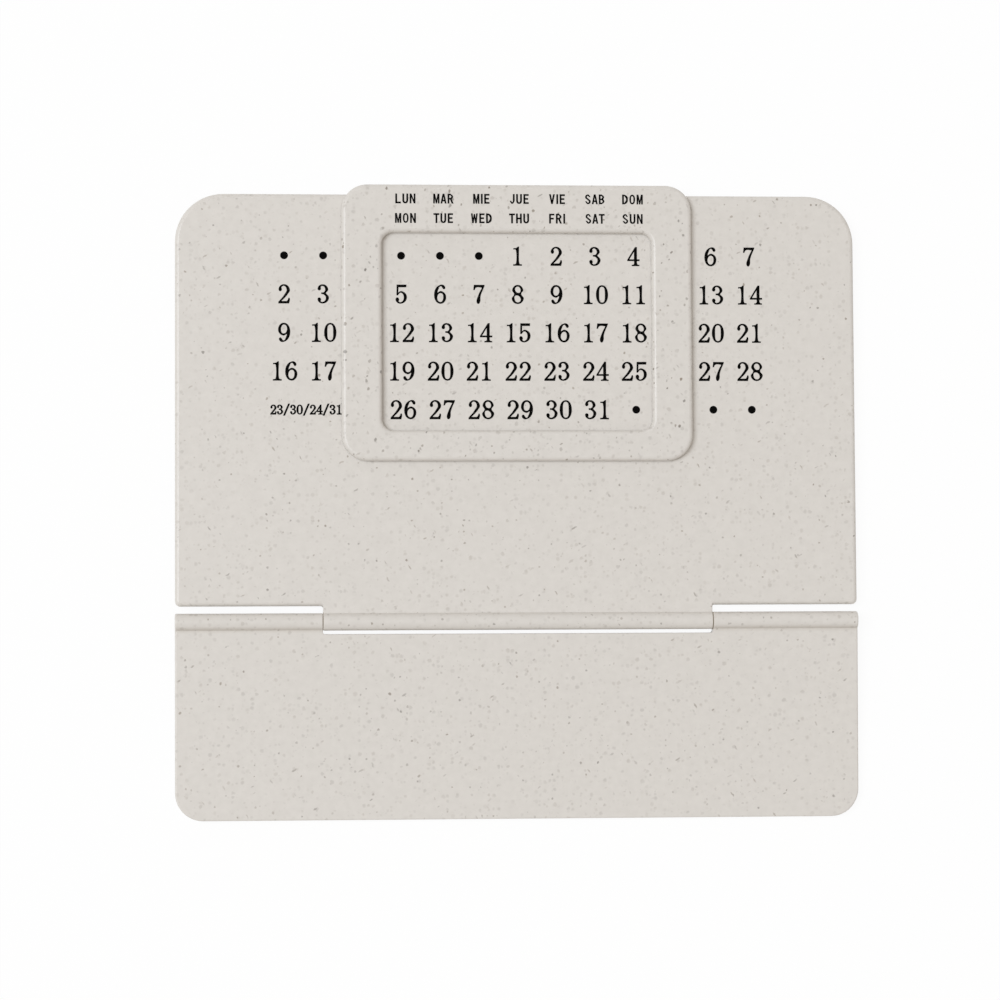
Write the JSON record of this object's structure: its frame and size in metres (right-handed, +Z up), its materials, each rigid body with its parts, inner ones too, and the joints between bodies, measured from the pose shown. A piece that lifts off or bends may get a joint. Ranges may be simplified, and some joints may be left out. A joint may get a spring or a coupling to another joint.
{
  "type": "perpetual calendar",
  "caption": "Moulded perpetual desk calendar with a fold-back stand on a pinned hinge and a date window that slides along the panel's top edge to set weekdays over dates.",
  "frame": {"origin": "on the table, under the middle of the calendar as it lies open and flat", "axes": "+X along the lines of dates, +Y towards the panel's top edge, +Z up out of the printed face"},
  "size_m": [0.13, 0.1206, 0.0051],
  "materials": {
    "straw_plastic": "matte moulded straw-filled plastic, pale grey-beige with fine brown specks",
    "pin_steel": "drawn steel wire"
  },
  "bodies": {
    "panel": {"calendar_panel": "straw_plastic"},
    "base": {"stand_base": "straw_plastic", "hinge_pin_left": "pin_steel", "hinge_pin_right": "pin_steel"},
    "slider": {"date_slider": "straw_plastic"}
  },
  "joints": [
    {"name": "stand_hinge", "type": "hinge", "parent": "panel", "child": "base", "pos_m": [0, -0.02288, 0.003], "axis": [1, 0, 0], "range_deg": [-159, 105]},
    {"name": "date_slide", "type": "slide", "parent": "panel", "child": "slider", "axis": [1, 0, 0], "range_m": [-0.02226, 0.02226]}
  ]
}
